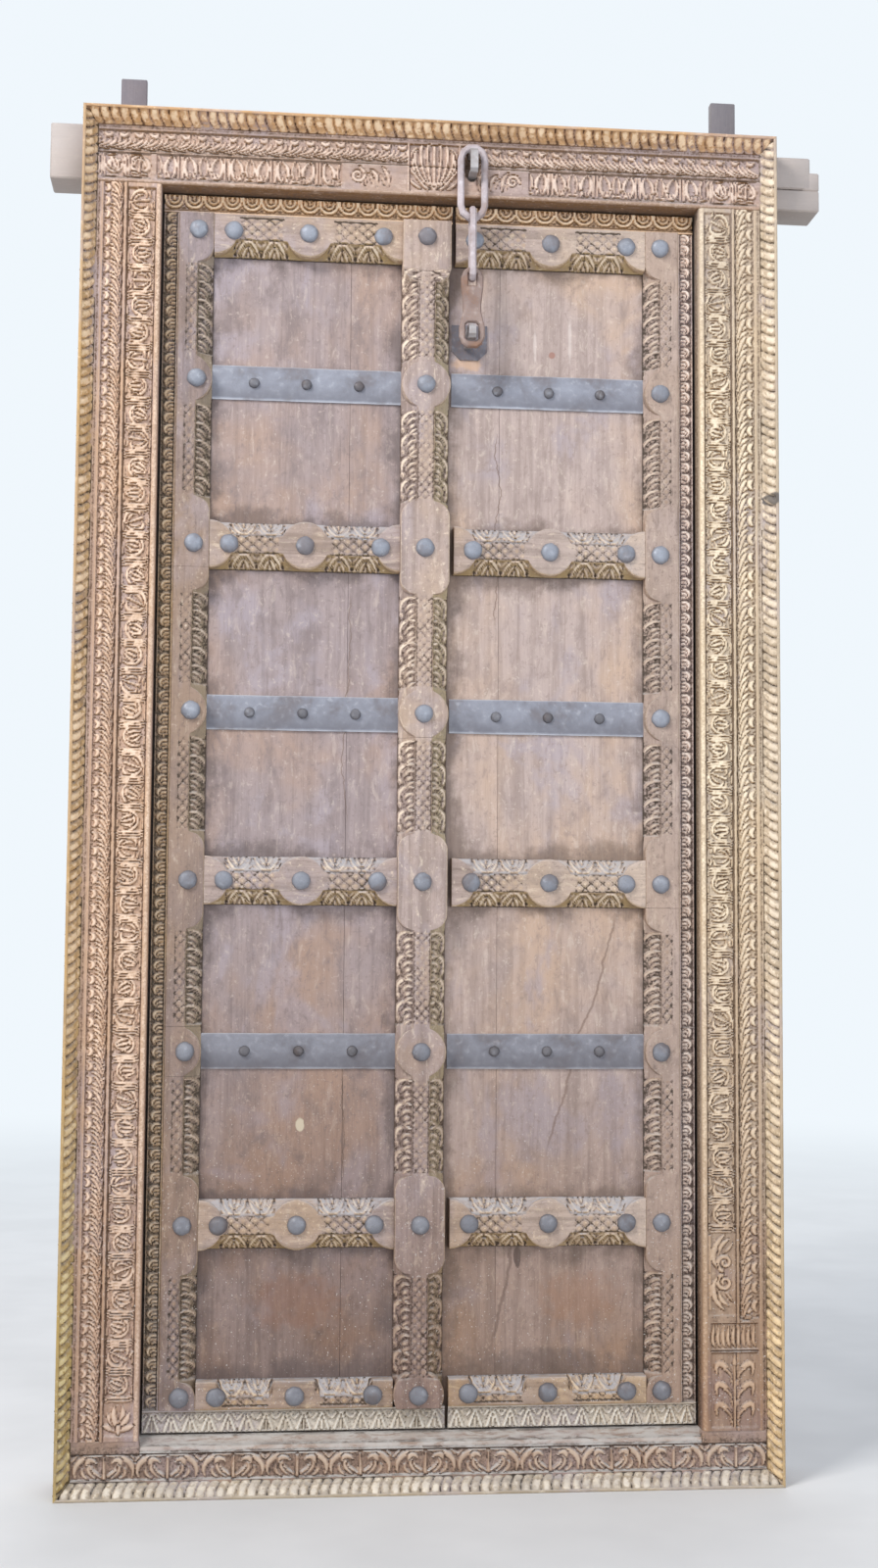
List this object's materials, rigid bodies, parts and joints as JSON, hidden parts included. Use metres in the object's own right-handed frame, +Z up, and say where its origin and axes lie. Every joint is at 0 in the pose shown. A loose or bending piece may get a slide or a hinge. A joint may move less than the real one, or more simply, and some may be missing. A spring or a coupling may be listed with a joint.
{
  "type": "carved double temple door",
  "caption": "Pair of carved timber door leaves with iron straps, studs and a hasp chain, hung on wooden pivots in a carved frame.",
  "frame": {"origin": "underside of the sill, in the middle of its width and its depth", "axes": "+X to the right as seen from the carved front, +Y away from the viewer through the door, +Z up"},
  "size_m": [1.223, 0.127, 2.163],
  "materials": {
    "frame_timber": "weathered, dusty",
    "trim_timber": "weathered, dusty",
    "border_timber": "weathered, dusty",
    "plank_timber": "weathered, matt",
    "forged_iron": "forged, aged",
    "chain_iron": "forged, worn",
    "hasp_iron": "forged, rusty",
    "staple_iron": "forged, rusty"
  },
  "bodies": {
    "frame": {"head_beam": "frame_timber", "left_jamb": "frame_timber", "right_jamb": "frame_timber", "sill": "frame_timber", "moulding_top": "frame_timber", "moulding_bottom": "frame_timber", "moulding_left": "frame_timber", "moulding_right": "frame_timber", "head_staple": "staple_iron"},
    "left_leaf": {"centre_bar_lower": "trim_timber", "centre_bar_upper": "trim_timber", "left_border_bottom": "border_timber", "left_border_side_1": "border_timber", "left_border_side_2": "border_timber", "left_border_side_3": "border_timber", "left_border_top": "border_timber", "left_hinge_plank": "plank_timber", "left_meeting_plank": "plank_timber", "left_rail_1": "trim_timber", "left_rail_2": "trim_timber", "left_rail_3": "trim_timber", "left_rail_4": "trim_timber", "left_rail_5": "trim_timber", "left_stile_1": "trim_timber", "left_stile_2": "trim_timber", "left_stile_3": "trim_timber", "left_stile_4": "trim_timber", "left_strap_1": "forged_iron", "left_strap_2": "forged_iron", "left_strap_3": "forged_iron", "left_strap_nails": "forged_iron", "left_studs": "forged_iron"},
    "right_leaf": {"right_border_bottom": "border_timber", "right_border_side_1": "border_timber", "right_border_side_2": "border_timber", "right_border_top": "border_timber", "right_hinge_plank": "plank_timber", "right_meeting_plank": "plank_timber", "right_rail_1": "trim_timber", "right_rail_2": "trim_timber", "right_rail_3": "trim_timber", "right_rail_4": "trim_timber", "right_rail_5": "trim_timber", "right_stile_1": "trim_timber", "right_stile_2": "trim_timber", "right_strap_1": "forged_iron", "right_strap_2": "forged_iron", "right_strap_3": "forged_iron", "right_strap_nails": "forged_iron", "right_studs": "forged_iron", "staple_plate": "staple_iron", "leaf_staple": "staple_iron"},
    "chain_ring": {"chain_ring": "chain_iron"},
    "chain_link": {"chain_link": "chain_iron"},
    "chain_hasp": {"chain_hasp": "hasp_iron"}
  },
  "joints": [
    {"name": "right_leaf_swing", "type": "hinge", "parent": "frame", "child": "right_leaf", "pos_m": [0.434, 0.0185, 1], "axis": [0, 0, -1], "range_deg": [0, 100]},
    {"name": "left_leaf_swing", "type": "hinge", "parent": "frame", "child": "left_leaf", "pos_m": [-0.434, 0.0185, 1], "axis": [0, 0, 1], "range_deg": [0, 80]},
    {"name": "ring_swing", "type": "hinge", "parent": "frame", "child": "chain_ring", "pos_m": [0.06, -0.0555, 2.05275], "axis": [-1, 0, 0], "range_deg": [0, 80]},
    {"name": "link_swing", "type": "hinge", "parent": "chain_ring", "child": "chain_link", "pos_m": [0.06, -0.0555, 1.94125], "axis": [-1, 0, 0], "range_deg": [-5, 60]},
    {"name": "hasp_swing", "type": "hinge", "parent": "chain_link", "child": "chain_hasp", "pos_m": [0.06, -0.0555, 1.8555], "axis": [-1, 0, 0], "range_deg": [-5, 60]}
  ],
  "couplings": [
    {"joint": "left_leaf_swing", "follows": "right_leaf_swing", "ratio": 0.8}
  ]
}
